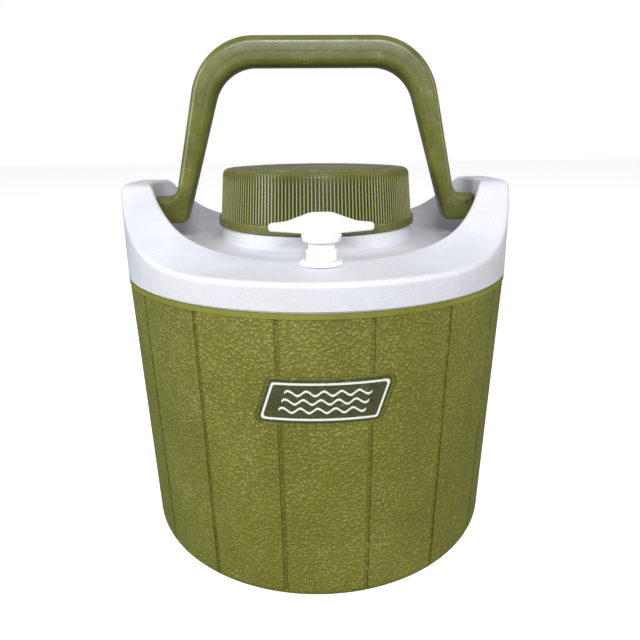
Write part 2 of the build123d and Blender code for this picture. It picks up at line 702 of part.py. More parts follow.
def rib_ring(z):
    """Toothed outline over the ribs at height z."""
    crest = skirt_radius(z)
    root = crest - RIB_D
    step = 360 / RIBS
    corners = []
    for i in range(RIBS):
        middle = i * step
        for share, radius in ((-RIB_BASE_SHARE, root), (-RIB_CREST_SHARE, crest),
                              (RIB_CREST_SHARE, crest), (RIB_BASE_SHARE, root)):
            angle = radians(middle + share * step / 2)
            corners.append((radius * cos(angle), radius * sin(angle), z))
    return make_face(Polyline(*corners, close=True))


def crown_form(depth):
    """Solid of the skirt and crown, set in from the rib crests by depth."""
    form = turned([
        (0, CAP_BOTTOM_Z),
        (skirt_radius(CAP_BOTTOM_Z) - depth, CAP_BOTTOM_Z),
        (skirt_radius(CAP_TOP_Z) - depth, CAP_TOP_Z),
        (0, CAP_TOP_Z),
    ])
    rim = form.edges().filter_by(GeomType.CIRCLE).sort_by(Axis.Z)[-1]
    return fillet(rim, CAP_EDGE_R)


def cap_shell():
    """Olive outer cap: flange, ribbed skirt and a top with a seat for its disc."""
    flange = ring(CAP_FLANGE_R, 0, CAP_BOTTOM_Z, CAP_BOTTOM_Z + CAP_FLANGE_H)
    flange = fillet(flange.edges().filter_by(GeomType.CIRCLE), 0.8)
    rib_low = CAP_BOTTOM_Z + CAP_FLANGE_H - 0.5
    ribs = loft([rib_ring(rib_low), rib_ring(CAP_TOP_Z)], ruled=True) & crown_form(0)
    cavity = cone_between(
        skirt_radius(CAP_BOTTOM_Z) - RIB_D - CAP_WALL, CAP_BOTTOM_Z - 1,
        skirt_radius(CAP_TOP_Z) - RIB_D - CAP_WALL, CAP_TOP_Z - CAP_WALL,
    )
    seat_z = CAP_TOP_Z + CAP_DISC_PROUD - CAP_DISC_T
    shell = crown_form(RIB_D) + flange + ribs - cavity
    return shell - ring(CAP_DISC_R, 0, seat_z, CAP_TOP_Z + 5)


def cap_disc():
    """Round cover plate set in the cap's top."""
    low = CAP_TOP_Z + CAP_DISC_PROUD - CAP_DISC_T
    plate = ring(CAP_DISC_R - RUNNING, 0, low, low + CAP_DISC_T)
    return fillet(plate.edges().filter_by(GeomType.CIRCLE).sort_by(Axis.Z)[-1], 0.6)


def cap_bore_radius():
    """Inside of the inner cap's skirt, at the root of its thread."""
    return NECK_R + THREAD_H + SLIP


def inner_skirt_radius():
    """Outside of the inner cap's skirt, just inside the cap shell."""
    return skirt_radius(CAP_TOP_Z) - RIB_D - CAP_WALL


def plug_radius():
    """Outside of the insulating plug that dips into the neck."""
    return NECK_R - NECK_WALL - PLUG_GAP


def plate_z():
    """Underside of the inner cap's plate, on top of the gasket."""
    return NECK_TOP_Z + RUNNING + GASKET_T


def cap_inner():
    """White inner cap: threaded skirt, plate and hollow plug."""
    plug_low = NECK_TOP_Z - PLUG_DEPTH
    skirt = ring(inner_skirt_radius(), cap_bore_radius(), INNER_SKIRT_Z, plate_z() + INNER_WALL)
    plate = ring(inner_skirt_radius(), 0, plate_z(), plate_z() + INNER_WALL)
    plug = ring(plug_radius(), 0, plug_low, plate_z() + INNER_WALL)
    plug = fillet(plug.edges().filter_by(GeomType.CIRCLE).sort_by(Axis.Z)[0], PLUG_WALL)
    hollow = ring(plug_radius() - PLUG_WALL, 0, plug_low + PLUG_WALL, CAP_TOP_Z)
    drop = (THREAD_BASE_W + THREAD_CREST_W) / 2 + SLIP
    start = THREAD_Z - drop + THREAD_PITCH / 2
    thread = helical_thread(cap_bore_radius(), -1, start, CAP_THREAD_TURNS)
    return skirt + plate + plug - hollow + Rot(0, 0, 180) * thread


def cap_foam():
    """Foam that fills the plug and the space under the cap's top."""
    step_z = plate_z() + INNER_WALL
    top_z = CAP_TOP_Z - CAP_WALL
    inside_r = plug_radius() - PLUG_WALL
    stem = ring(inside_r, 0, NECK_TOP_Z - PLUG_DEPTH + PLUG_WALL, step_z)
    return stem + ring(inner_skirt_radius(), 0, step_z, top_z)


def cap_gasket():
    """Flat ring that the inner cap presses on the neck's rim."""
    low = NECK_TOP_Z + RUNNING
    return ring(cap_bore_radius(), plug_radius(), low, low + GASKET_T)


# ================================================================ handle
def handle_outline():
    """Front view of the bail from foot to foot."""
    foot_low = PIVOT_Z - FOOT_H / 2
    foot_high = PIVOT_Z + FOOT_H / 2
    under = HANDLE_TOP_Z - GRIP_T
    right = [
        (FOOT_OUT, foot_low, FOOT_END_R),
        (FOOT_OUT, foot_high, FOOT_END_R),
        (LEG_FOOT, foot_high, FOOT_BEND_R),
        (GRIP_OUT, HANDLE_TOP_Z, GRIP_BEND_R),
    ]
    left = [(-x, z, r) for x, z, r in reversed(right)]
    inside = [
        (-FOOT_IN, foot_low, FOOT_CORNER_R),
        (-GRIP_IN, under, HAND_BEND_R),
        (GRIP_IN, under, HAND_BEND_R),
        (FOOT_IN, foot_low, FOOT_CORNER_R),
    ]
    corners = right + left + inside
    path = FilletPolyline(
        *[(x, z) for x, z, _ in corners],
        radius=[r for _, _, r in corners],
        close=True,
    )
    return make_face(path)


def bail_handle():
    """Olive bail with a pivot pin on each foot."""
    bail = extrude(Plane.XZ * handle_outline(), HANDLE_DEPTH / 2, both=True)
    rims = [e for face in bail.faces().filter_by(Axis.Y) for e in face.edges()]
    bail = fillet(rims, SECTION_ROUND)
    for mark in (-1, 1):
        bail += along_pivot(mark, PIVOT_R, FOOT_OUT - 5, pin_end())
    return bail


def pivot_clips():
    """Push-on spring clips that keep the pins in the ears."""
    x_low = DISH_R + BOSS_T + SLIP
    clips = []
    for mark in (-1, 1):
        disc = along_pivot(mark, CLIP_R, x_low, x_low + CLIP_T)
        clips.append(disc - along_pivot(mark, PIVOT_R, x_low - 1, x_low + CLIP_T + 1))
    return Compound(children=[s for clip in clips for s in clip.solids()])


PARTS = {
    "outer_shell": outer_shell,
    "fill_plug": fill_plug,
    "badge_plate": badge_plate,
    "badge_print": badge_print,
    "body_foam": body_foam,
    "liner": liner,
    "neck_seal": neck_seal,
    "shoulder": shoulder,
    "bail_handle": bail_handle,
    "pivot_clips": pivot_clips,
    "cap_shell": cap_shell,
    "cap_disc": cap_disc,
    "cap_foam": cap_foam,
    "cap_inner": cap_inner,
    "cap_gasket": cap_gasket,
    "spout_grommet": spout_grommet,
    "pour_spout": pour_spout,
    "spout_seal": spout_seal,
    "spout_stopper": spout_stopper,
    "stopper_seal": stopper_seal,
}


def main():
    """Write one STEP file for each piece."""
    os.makedirs("parts", exist_ok=True)
    for name, build in PARTS.items():
        export_step(build(), f"parts/{name}.step")
        print(name)


main()
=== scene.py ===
"""Looks of a round insulated picnic jug: grained shell, white shoulder, bail, cap and spout.

Every measure is in metres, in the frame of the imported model: +Z up, the front towards -Y.
"""
import json
import logging
import math
from dataclasses import dataclass, field
from enum import Enum
from typing import ClassVar

import bpy
from mathutils import Matrix, Vector


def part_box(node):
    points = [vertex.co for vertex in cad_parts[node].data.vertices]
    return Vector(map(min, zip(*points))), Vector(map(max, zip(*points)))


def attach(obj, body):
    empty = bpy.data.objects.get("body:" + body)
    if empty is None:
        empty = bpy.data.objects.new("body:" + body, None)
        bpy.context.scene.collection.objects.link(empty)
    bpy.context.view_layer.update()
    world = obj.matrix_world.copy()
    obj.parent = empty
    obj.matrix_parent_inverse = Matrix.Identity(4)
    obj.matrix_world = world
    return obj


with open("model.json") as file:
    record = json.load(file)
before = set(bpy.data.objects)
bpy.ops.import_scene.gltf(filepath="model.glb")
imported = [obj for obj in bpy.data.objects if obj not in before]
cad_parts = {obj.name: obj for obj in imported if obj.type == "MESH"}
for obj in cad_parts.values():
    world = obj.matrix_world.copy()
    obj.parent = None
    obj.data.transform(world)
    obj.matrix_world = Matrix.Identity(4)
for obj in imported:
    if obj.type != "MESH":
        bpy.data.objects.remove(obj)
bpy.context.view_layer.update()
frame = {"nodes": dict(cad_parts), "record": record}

LOG = logging.getLogger("picnic_jug")
MM = 0.001
RIM_BAND = 3 * MM        # smooth band under the shell's joint
CAP_FLANGE_H = 4.8 * MM  # the cap's ribs start above its flange
FLANGE_OVER_FOOT = 1.6 * MM      # from the rib crests' foot out to the flange's edge
FLANGE_OVER_TOP = 4.2 * MM       # from the rib crests' top out to the flange's edge
WELD_GAP = 0.002 * MM
SHARP_NODE = math.radians(28)    # edges of CAD nodes above this angle stay sharp
SHARP_PIECE = math.radians(35)   # the same for new pieces
AIM_Z = 0.17             # height at which the panels are aimed
Point = tuple[float, float, float]
Colour = tuple[float, float, float, float]


# ------------------------------------------------------------------ colour and shader nodes
def linear(hex_colour: str) -> Colour:
    """Turn an sRGB hex value into linear colour.

    Args:
        hex_colour: six hex digits after a hash.

    Returns:
        Red, green and blue, linear, and an alpha of 1.
    """
    values = [int(hex_colour[i:i + 2], 16) / 255 for i in (1, 3, 5)]
    red, green, blue = (
        v / 12.92 if v <= 0.04045 else ((v + 0.055) / 1.055) ** 2.4 for v in values
    )
    return red, green, blue, 1.0


def per_metre(millimetres: float) -> float:
    """Scale of a pattern whose cells are this many millimetres wide."""
    return 1 / (millimetres * MM)


class Kind(Enum):
    """The kinds of shader node in use.

    Sockets that share a name go by index. MIX takes its factor at 0, vectors at 4 and 5 and
    colours at 6 and 7; RANGE takes the input's span at 1 and 2 and the output's at 3 and 4.
    """

    OUTPUT = "ShaderNodeOutputMaterial"
    PRINCIPLED = "ShaderNodeBsdfPrincipled"
    PLACE = "ShaderNodeTexCoord"
    SPLIT = "ShaderNodeSeparateXYZ"
    MAPPING = "ShaderNodeMapping"
    NOISE = "ShaderNodeTexNoise"
    CELLS = "ShaderNodeTexVoronoi"
    RAMP = "ShaderNodeValToRGB"
    RANGE = "ShaderNodeMapRange"
    MIX = "ShaderNodeMix"
    MATH = "ShaderNodeMath"
    VECTOR = "ShaderNodeVectorMath"
    BUMP = "ShaderNodeBump"
    RAY = "ShaderNodeLightPath"
    AIR = "ShaderNodeBackground"
    WORLD = "ShaderNodeOutputWorld"


def add_node(tree: bpy.types.NodeTree, kind: Kind, inputs: dict | None = None,
             stops: tuple[tuple[float, str], ...] = (), out: str | int = 0,
             **settings: object) -> bpy.types.NodeSocket | None:
    """Add one shader node with its settings, values and links.

    Args:
        tree: the node tree of a material or of the world.
        kind: which node.
        inputs: socket name or index to a value, or to another node's output.
        stops: places and hex colours of a colour ramp.
        out: name or index of the output that is wanted.
        **settings: attributes of the node itself.

    Returns:
        The wanted output, or None for a node that has no output.
    """
    node = tree.nodes.new(kind.value)
    for name, value in settings.items():
        setattr(node, name, value)
    for key, value in (inputs or {}).items():
        if isinstance(value, bpy.types.NodeSocket):
            tree.links.new(value, node.inputs[key])
        else:
            node.inputs[key].default_value = value
    for index, (place, colour) in enumerate(stops):
        if index >= len(node.color_ramp.elements):
            node.color_ramp.elements.new(1.0)
        element = node.color_ramp.elements[index]
        element.position = place
        element.color = linear(colour)
    return node.outputs[out] if node.outputs else None


# ------------------------------------------------------------------ finishes
@dataclass(frozen=True)
class Finish:
    """A moulded or metal finish on one principled shader; each kind paints its own."""

    name: str
    colour: str
    roughness: float
    metallic: float = 0.0
    coat: float = 0.0

    def build(self) -> bpy.types.Material:
        """Make the material.

        Returns:
            The node-based material.
        """
        material = bpy.data.materials.new(self.name)
        material.use_nodes = True
        tree = material.node_tree
        tree.nodes.clear()
        place = add_node(tree, Kind.PLACE, out="Object")
        dressed = {
            "Base Color": linear(self.colour),
            "Roughness": self.roughness,
            "Metallic": self.metallic,
            "Coat Weight": self.coat,
            "Coat Roughness": 0.25,
            **self.paint(tree, place),
        }
        add_node(tree, Kind.OUTPUT, {"Surface": add_node(tree, Kind.PRINCIPLED, dressed)})
        return material

    def paint(self, tree: bpy.types.NodeTree,
              place: bpy.types.NodeSocket) -> dict[str, bpy.types.NodeSocket]:
        """A faint unevenness of the moulded skin.

        Args:
            tree: the material's node tree.
            place: object coordinates.

        Returns:
            Outputs for the shader's sockets.
        """
        skin = add_node(tree, Kind.NOISE, {"Vector": place, "Scale": per_metre(4.0)})
        return {"Normal": add_node(tree, Kind.BUMP, {"Height": skin, "Distance": 0.02 * MM})}


@dataclass(frozen=True)
class GrainedPolyethylene(Finish):
    """Blow-moulded polyethylene from a leather-etched mould.

    Painted shade darkens the creases between its pebbles; rubbed crests turn pale in slanting
    streaks.
    """

    light: str = "#8a8b39"
    dark: str = "#757628"
    # painted shade: colour of the creases between the pebbles
    crease_shade: str = "#56571b"
    rubbed: str = "#b0b27c"
    cell_mm: float = 1.75
    depth_mm: float = 0.42
    plain_above: float = 1.0

    def paint(self, tree: bpy.types.NodeTree,
              place: bpy.types.NodeSocket) -> dict[str, bpy.types.NodeSocket]:
        """Pebble grain below the smooth band, cloudy colour, painted shade in the creases and
        rubbed crests.

        Args:
            tree: the material's node tree.
            place: object coordinates.

        Returns:
            Outputs for the shader's sockets.
        """
        bend = add_node(tree, Kind.NOISE, {
            "Vector": place, "Scale": per_metre(2.6), "Detail": 1.0}, out="Color")
        bent = add_node(tree, Kind.MIX, {0: 0.0016, 4: place, 5: bend}, out=1,
                        data_type="VECTOR", clamp_factor=False)
        cells = add_node(tree, Kind.CELLS, {
            "Vector": bent, "Scale": per_metre(self.cell_mm), "Smoothness": 0.45},
            feature="SMOOTH_F1")
        pebble = add_node(tree, Kind.RANGE, {"Value": cells, 1: 0.12, 2: 0.66, 3: 1.0, 4: 0.0},
                          interpolation_type="SMOOTHSTEP")
        height = add_node(tree, Kind.SPLIT, {0: place}, out="Z")
        grained = add_node(tree, Kind.MATH, {0: height, 1: self.plain_above},
                           operation="LESS_THAN")
        relief = add_node(tree, Kind.MATH, {0: pebble, 1: grained}, operation="MULTIPLY")
        cloud = add_node(tree, Kind.NOISE, {
            "Vector": place, "Scale": per_metre(38), "Detail": 4.0, "Roughness": 0.6})
        body = add_node(tree, Kind.RAMP, {"Fac": cloud},
                        ((0.30, self.dark), (0.5, self.colour), (0.72, self.light)))
        # painted shade: the low parts of the pebble relief are darkened towards the crease
        # colour
        depth = add_node(tree, Kind.MATH, {0: grained, 1: relief},
                         operation="SUBTRACT", use_clamp=True)
        shade = add_node(tree, Kind.MATH, {0: depth, 1: 0.55}, operation="MULTIPLY")
        body = add_node(tree, Kind.MIX, {0: shade, 6: body, 7: linear(self.crease_shade)}, out=2,
                        data_type="RGBA")
        slanted = add_node(tree, Kind.MAPPING, {
            "Vector": place, "Rotation": (0.0, math.radians(38), 0.0),
            "Scale": (1.0, 1.0, 0.22)})
        streaks = add_node(tree, Kind.NOISE, {
            "Vector": slanted, "Scale": per_metre(7.0), "Detail": 5.0, "Roughness": 0.72})
        worn = add_node(tree, Kind.RANGE, {"Value": streaks, 1: 0.53, 2: 0.72, 3: 0.0, 4: 0.85})
        crest = add_node(tree, Kind.RANGE, {"Value": relief, 1: 0.55, 2: 1.0, 3: 0.0, 4: 1.0})
        worn = add_node(tree, Kind.MATH, {0: worn, 1: crest}, operation="MULTIPLY")
        body = add_node(tree, Kind.MIX, {0: worn, 6: body, 7: linear(self.rubbed)}, out=2,
                        data_type="RGBA")
        sheen = add_node(tree, Kind.RANGE, {
            "Value": cloud, 1: 0.3, 2: 0.7, 3: self.roughness - 0.05, 4: self.roughness + 0.08})
        return {
            "Base Color": body,
            "Roughness": sheen,
            "Normal": add_node(tree, Kind.BUMP, {
                "Height": relief, "Distance": self.depth_mm * MM, "Strength": 0.8}),
        }


@dataclass(frozen=True)
class SmoothPolypropylene(Finish):
    """Injection-moulded polypropylene from a polished mould, dulled by hands and sun.

    It gives broad soft highlights broken by pale scuffs.
    """

    light: str = "#747434"
    dark: str = "#50511a"
    scuff: str = "#a9aa7a"
    scuffs: float = 0.5

    def paint(self, tree: bpy.types.NodeTree,
              place: bpy.types.NodeSocket) -> dict[str, bpy.types.NodeSocket]:
        """Cloudy colour, pale scuffs and a slightly wavy skin.

        Args:
            tree: the material's node tree.
            place: object coordinates.

        Returns:
            Outputs for the shader's sockets.
        """
        cloud = add_node(tree, Kind.NOISE, {
            "Vector": place, "Scale": per_metre(26), "Detail": 3.0, "Roughness": 0.55})
        body = add_node(tree, Kind.RAMP, {"Fac": cloud},
                        ((0.3, self.dark), (0.52, self.colour), (0.75, self.light)))
        patch = add_node(tree, Kind.NOISE, {
            "Vector": place, "Scale": per_metre(9.0), "Detail": 5.0, "Roughness": 0.72})
        speck = add_node(tree, Kind.NOISE, {
            "Vector": place, "Scale": per_metre(1.1), "Detail": 3.0, "Roughness": 0.7})
        both = add_node(tree, Kind.MATH, {0: patch, 1: speck}, operation="MULTIPLY")
        worn = add_node(tree, Kind.RANGE, {
            "Value": both, 1: 0.335, 2: 0.41, 3: 0.0, 4: self.scuffs})
        body = add_node(tree, Kind.MIX, {0: worn, 6: body, 7: linear(self.scuff)}, out=2,
                        data_type="RGBA")
        rough = add_node(tree, Kind.RANGE, {
            "Value": patch, 1: 0.3, 2: 0.75, 3: self.roughness - 0.06, 4: self.roughness + 0.12})
        wavy = add_node(tree, Kind.NOISE, {"Vector": place, "Scale": per_metre(7.0)})
        soft = add_node(tree, Kind.BUMP, {"Height": wavy, "Distance": 0.05 * MM})
        return {
            "Base Color": body,
            "Roughness": rough,
            "Normal": add_node(tree, Kind.BUMP, {
                "Height": speck, "Distance": 0.012 * MM, "Normal": soft}),
        }


@dataclass(frozen=True)
class RibbedPolypropylene(SmoothPolypropylene):
    """The same polypropylene on the cap's ribs.

    Painted shade keeps the valleys dark and a painted highlight keeps the crests pale.
    """

    # painted shade in the rib valleys
    valley_shade: str = "#2c2c0c"
    # painted highlight on the rib crests
    crest: str = "#a3a270"
    rib_mm: float = 0.7
    foot_radius: float = 1.0
    foot_z: float = 0.0
    top_radius: float = 1.0
    top_z: float = 1.0

    def paint(self, tree: bpy.types.NodeTree,
              place: bpy.types.NodeSocket) -> dict[str, bpy.types.NodeSocket]:
        """Paint shade into the valleys and a highlight onto the crests between the foot and the
        top of the ribs.

        Args:
            tree: the material's node tree.
            place: object coordinates.

        Returns:
            Outputs for the shader's sockets.
        """
        dressed = super().paint(tree, place)
        height = add_node(tree, Kind.SPLIT, {0: place}, out="Z")
        flat = add_node(tree, Kind.MAPPING, {"Vector": place, "Scale": (1.0, 1.0, 0.0)})
        radius = add_node(tree, Kind.VECTOR, {0: flat}, out="Value", operation="LENGTH")
        over = add_node(tree, Kind.RANGE, {
            "Value": height, 1: self.foot_z, 2: self.top_z,
            3: self.foot_radius, 4: self.top_radius})
        inward = add_node(tree, Kind.MATH, {0: over, 1: radius}, operation="SUBTRACT")
        # painted shade: valleys, measured inward from the crest line, darken towards the valley
        # colour
        valley_shade = add_node(tree, Kind.RANGE, {
            "Value": inward, 1: 0.25 * self.rib_mm * MM, 2: 0.95 * self.rib_mm * MM,
            3: 0.0, 4: 0.85}, interpolation_type="SMOOTHSTEP")
        # painted highlight: crests lighten towards the crest colour
        crest = add_node(tree, Kind.RANGE, {
            "Value": inward, 1: 0.30 * self.rib_mm * MM, 2: 0.0, 3: 0.0, 4: 0.7})
        above = add_node(tree, Kind.MATH, {0: height, 1: self.foot_z}, operation="GREATER_THAN")
        below = add_node(tree, Kind.RANGE, {
            "Value": height, 1: self.top_z - 6 * MM, 2: self.top_z - 3 * MM, 3: 1.0, 4: 0.0})
        ribbed = add_node(tree, Kind.MATH, {0: above, 1: below}, operation="MULTIPLY")
        body = dressed["Base Color"]
        for mask, colour in ((valley_shade, self.valley_shade), (crest, self.crest)):
            amount = add_node(tree, Kind.MATH, {0: mask, 1: ribbed}, operation="MULTIPLY")
            body = add_node(tree, Kind.MIX, {0: amount, 6: body, 7: linear(colour)}, out=2,
                            data_type="RGBA")
        return {**dressed, "Base Color": body}


@dataclass(frozen=True)
class SandedPolyethylene(Finish):
    """White polyethylene from a sand-blasted or a plain mould.

    A fine tooth breaks up its shading, and painted shade greys its low spots.
    """

    # painted shade for the tooth's low spots; the cloud ramp also uses it as a random tone
    shade: str = "#c9cacf"
    warm: str = "#d9d4d1"
    grit_mm: float = 0.85
    depth_mm: float = 0.16
    grime: str = "#b9b3a6"
    grime_amount: float = 0.35

    def paint(self, tree: bpy.types.NodeTree,
              place: bpy.types.NodeSocket) -> dict[str, bpy.types.NodeSocket]:
        """Sand-blasted tooth with painted shade in its low spots, slight yellowing and rare
        specks of dirt.

        Args:
            tree: the material's node tree.
            place: object coordinates.

        Returns:
            Outputs for the shader's sockets.
        """
        cloud = add_node(tree, Kind.NOISE, {"Vector": place, "Scale": per_metre(45)})
        body = add_node(tree, Kind.RAMP, {"Fac": cloud},
                        ((0.3, self.shade), (0.52, self.colour), (0.78, self.warm)))
        grit = add_node(tree, Kind.NOISE, {
            "Vector": place, "Scale": per_metre(self.grit_mm), "Detail": 3.0, "Roughness": 0.6})
        # painted shade: the low spots of the grit are greyed towards the shade colour
        tooth = add_node(tree, Kind.RANGE, {"Value": grit, 1: 0.6, 2: 0.35, 3: 0.0, 4: 0.6})
        body = add_node(tree, Kind.MIX, {0: tooth, 6: body, 7: linear(self.shade)}, out=2,
                        data_type="RGBA")
        speck = add_node(tree, Kind.NOISE, {
            "Vector": place, "Scale": per_metre(2.4), "Detail": 3.0, "Roughness": 0.75})
        dirt = add_node(tree, Kind.RANGE, {
            "Value": speck, 1: 0.715, 2: 0.78, 3: 0.0, 4: self.grime_amount})
        body = add_node(tree, Kind.MIX, {0: dirt, 6: body, 7: linear(self.grime)}, out=2,
                        data_type="RGBA")
        wavy = add_node(tree, Kind.NOISE, {"Vector": place, "Scale": per_metre(16)})
        waves = add_node(tree, Kind.BUMP, {
            "Height": wavy, "Distance": 0.12 * MM, "Strength": 0.6})
        return {
            "Base Color": body,
            "Normal": add_node(tree, Kind.BUMP, {
                "Height": grit, "Distance": self.depth_mm * MM, "Strength": 0.9,
                "Normal": waves}),
        }


@dataclass(frozen=True)
class BrushedFoil(Finish):
    """Anodised aluminium foil, brushed along the badge.

    It is a dull metal with fine level lines, and pale where the colour is rubbed through.
    """

    rubbed: str = "#a9ab94"
    dark: str = "#474a2b"

    def paint(self, tree: bpy.types.NodeTree,
              place: bpy.types.NodeSocket) -> dict[str, bpy.types.NodeSocket]:
        """Brush lines along X and rubbed specks.

        Args:
            tree: the material's node tree.
            place: object coordinates.

        Returns:
            Outputs for the shader's sockets.
        """
        drawn = add_node(tree, Kind.MAPPING, {"Vector": place, "Scale": (0.05, 1.0, 1.0)})
        brush = add_node(tree, Kind.NOISE, {
            "Vector": drawn, "Scale": per_metre(0.9), "Detail": 3.0, "Roughness": 0.6})
        body = add_node(tree, Kind.RAMP, {"Fac": brush}, ((0.3, self.dark), (0.7, self.colour)))
        patch = add_node(tree, Kind.NOISE, {
            "Vector": place, "Scale": per_metre(3.0), "Detail": 5.0, "Roughness": 0.8})
        bare = add_node(tree, Kind.RANGE, {"Value": patch, 1: 0.60, 2: 0.70, 3: 0.0, 4: 0.8})
        return {
            "Base Color": add_node(tree, Kind.MIX, {0: bare, 6: body, 7: linear(self.rubbed)},
                                   out=2, data_type="RGBA"),
            "Normal": add_node(tree, Kind.BUMP, {"Height": brush, "Distance": 0.02 * MM}),
        }


@dataclass(frozen=True)
class PrintedInk(Finish):
    """Screen-printed ink: flat and off-white, chipped in small flakes."""

    chipped: str = "#8f9078"

    def paint(self, tree: bpy.types.NodeTree,
              place: bpy.types.NodeSocket) -> dict[str, bpy.types.NodeSocket]:
        """Small chips that let the foil show.

        Args:
            tree: the material's node tree.
            place: object coordinates.

        Returns:
            Outputs for the shader's sockets.
        """
        patch = add_node(tree, Kind.NOISE, {
            "Vector": place, "Scale": per_metre(1.4), "Detail": 4.0, "Roughness": 0.8})
        chips = add_node(tree, Kind.RANGE, {"Value": patch, 1: 0.62, 2: 0.66, 3: 0.0, 4: 0.85})
        return {
            "Base Color": add_node(tree, Kind.MIX, {
                0: chips, 6: linear(self.colour), 7: linear(self.chipped)},
                out=2, data_type="RGBA"),
            "Normal": add_node(tree, Kind.BUMP, {"Height": patch, "Distance": 0.01 * MM}),
        }


@dataclass(frozen=True)
class PouredFoam(Finish):
    """Rigid polyurethane foam as it sets in the mould: matt cream, with small open pores."""

    pore: str = "#b99b5e"
    pore_mm: float = 1.3

    def paint(self, tree: bpy.types.NodeTree,
              place: bpy.types.NodeSocket) -> dict[str, bpy.types.NodeSocket]:
        """Round pores over a cream body.

        Args:
            tree: the material's node tree.
            place: object coordinates.

        Returns:
            Outputs for the shader's sockets.
        """
        cells = add_node(tree, Kind.CELLS, {"Vector": place, "Scale": per_metre(self.pore_mm)})
        return {
            "Base Color": add_node(tree, Kind.RAMP, {"Fac": cells},
                                   ((0.12, self.pore), (0.4, self.colour))),
            "Normal": add_node(tree, Kind.BUMP, {"Height": cells, "Distance": 0.3 * MM}),
        }


@dataclass(frozen=True)
class SpringSteel(Finish):
    """Bright rolled spring steel: a clean metal with fine rolling lines."""

    def paint(self, tree: bpy.types.NodeTree,
              place: bpy.types.NodeSocket) -> dict[str, bpy.types.NodeSocket]:
        """Rolling lines along Y.

        Args:
            tree: the material's node tree.
            place: object coordinates.

        Returns:
            Outputs for the shader's sockets.
        """
        drawn = add_node(tree, Kind.MAPPING, {"Vector": place, "Scale": (1.0, 0.05, 1.0)})
        lines = add_node(tree, Kind.NOISE, {"Vector": drawn, "Scale": per_metre(0.6)})
        return {"Normal": add_node(tree, Kind.BUMP, {"Height": lines, "Distance": 0.01 * MM})}


class FinishName(Enum):
    """The jug's finishes; each value starts with the record's material slot."""

    SHELL = "olive_grained_polyethylene"
    OLIVE = "olive_smooth_polypropylene"
    RIBS = "olive_smooth_polypropylene, ribbed"
    SHOULDER = "white_textured_polyethylene"
    WHITE = "white_smooth_polyethylene"
    FOAM = "insulating_foam"
    FOIL = "badge_foil"
    INK = "badge_ink"
    STEEL = "spring_steel"
    RUBBER = "seal_rubber"


def finishes() -> dict[FinishName, Finish]:
    """The jug's finishes by name; the shell's grain stops below its rim band."""
    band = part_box("outer_shell")[1][2] - RIM_BAND
    cap_low, cap_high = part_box("cap_shell")
    return {
        FinishName.SHELL: GrainedPolyethylene(
            "leather_grained_polyethylene", "#7f812f", 0.5, plain_above=band),
        FinishName.OLIVE: SmoothPolypropylene(
            "polished_polypropylene", "#5f6023", 0.3, coat=0.15),
        FinishName.RIBS: RibbedPolypropylene(
            "ribbed_polypropylene", "#5f6023", 0.3, coat=0.15,
            foot_radius=cap_high[0] - FLANGE_OVER_FOOT, foot_z=cap_low[2] + CAP_FLANGE_H,
            top_radius=cap_high[0] - FLANGE_OVER_TOP, top_z=cap_high[2]),
        FinishName.SHOULDER: SandedPolyethylene("sand_blasted_polyethylene", "#d9dade", 0.55),
        FinishName.WHITE: SandedPolyethylene(
            "polished_polyethylene", "#f1f2f4", 0.34, shade="#e9eaee", warm="#f1efea",
            grit_mm=2.5, depth_mm=0.02, grime_amount=0.2),
        FinishName.FOAM: PouredFoam("poured_polyurethane_foam", "#dccb93", 0.85),
        FinishName.FOIL: BrushedFoil("brushed_anodised_foil", "#5f613f", 0.42, metallic=0.35),
        FinishName.INK: PrintedInk("screen_printed_ink", "#e9e9df", 0.5),
        FinishName.STEEL: SpringSteel("rolled_spring_steel", "#b8b9ba", 0.3, metallic=1.0),
        FinishName.RUBBER: Finish("moulded_seal_rubber", "#cfcdc6", 0.6),
    }


# ------------------------------------------------------------------ workshop
def deselect() -> None:
    """Leave object mode with nothing selected."""
    if bpy.context.object and bpy.context.object.mode != "OBJECT":
        bpy.ops.object.mode_set(mode="OBJECT")
    bpy.ops.object.select_all(action="DESELECT")


@dataclass
class Workshop:
    """Builds each finish once, and dresses CAD nodes and new pieces with them."""

    recipes: dict[FinishName, Finish] = field(default_factory=finishes)
    materials: dict[FinishName, bpy.types.Material] = field(default_factory=dict)

    def material(self, finish: FinishName) -> bpy.types.Material:
        """Build a finish on first use.

        Args:
            finish: which finish.

        Returns:
            Its material.
        """
        if finish not in self.materials:
            self.materials[finish] = self.recipes[finish].build()
        return self.materials[finish]

    def dress_node(self, node: str, finish: FinishName) -> None:
        """Give a CAD node its material and smooth shading between its sharp edges.

        Args:
            node: the CAD node's name.
            finish: which finish.
        """
        obj = frame["nodes"][node]
        obj.data.materials.clear()
        obj.data.materials.append(self.material(finish))
        for polygon in obj.data.polygons:
            polygon.use_smooth = True
            polygon.material_index = 0
        weld = obj.modifiers.new("weld", "WELD")
        weld.merge_threshold = WELD_GAP
        split = obj.modifiers.new("sharp edges", "EDGE_SPLIT")
        split.split_angle = SHARP_NODE
        split.use_edge_sharp = False
        LOG.info("dressed %s", node)

    def place_piece(self, piece: bpy.types.Object, name: str, body: str,
                    finish: FinishName) -> None:
        """Name a finished piece, dress it and let it ride on its body.

        Args:
            piece: the finished piece, modelled in place.
            name: the piece's name.
            body: the CAD body that it moves with.
            finish: which finish.
        """
        deselect()
        piece.select_set(True)
        bpy.context.view_layer.objects.active = piece
        bpy.ops.object.transform_apply(location=True, rotation=True, scale=True)
        bpy.ops.object.shade_smooth_by_angle(angle=SHARP_PIECE)
        piece.name = name
        piece.data.materials.clear()
        piece.data.materials.append(self.material(finish))
        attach(piece, body)
        LOG.info("made %s", name)


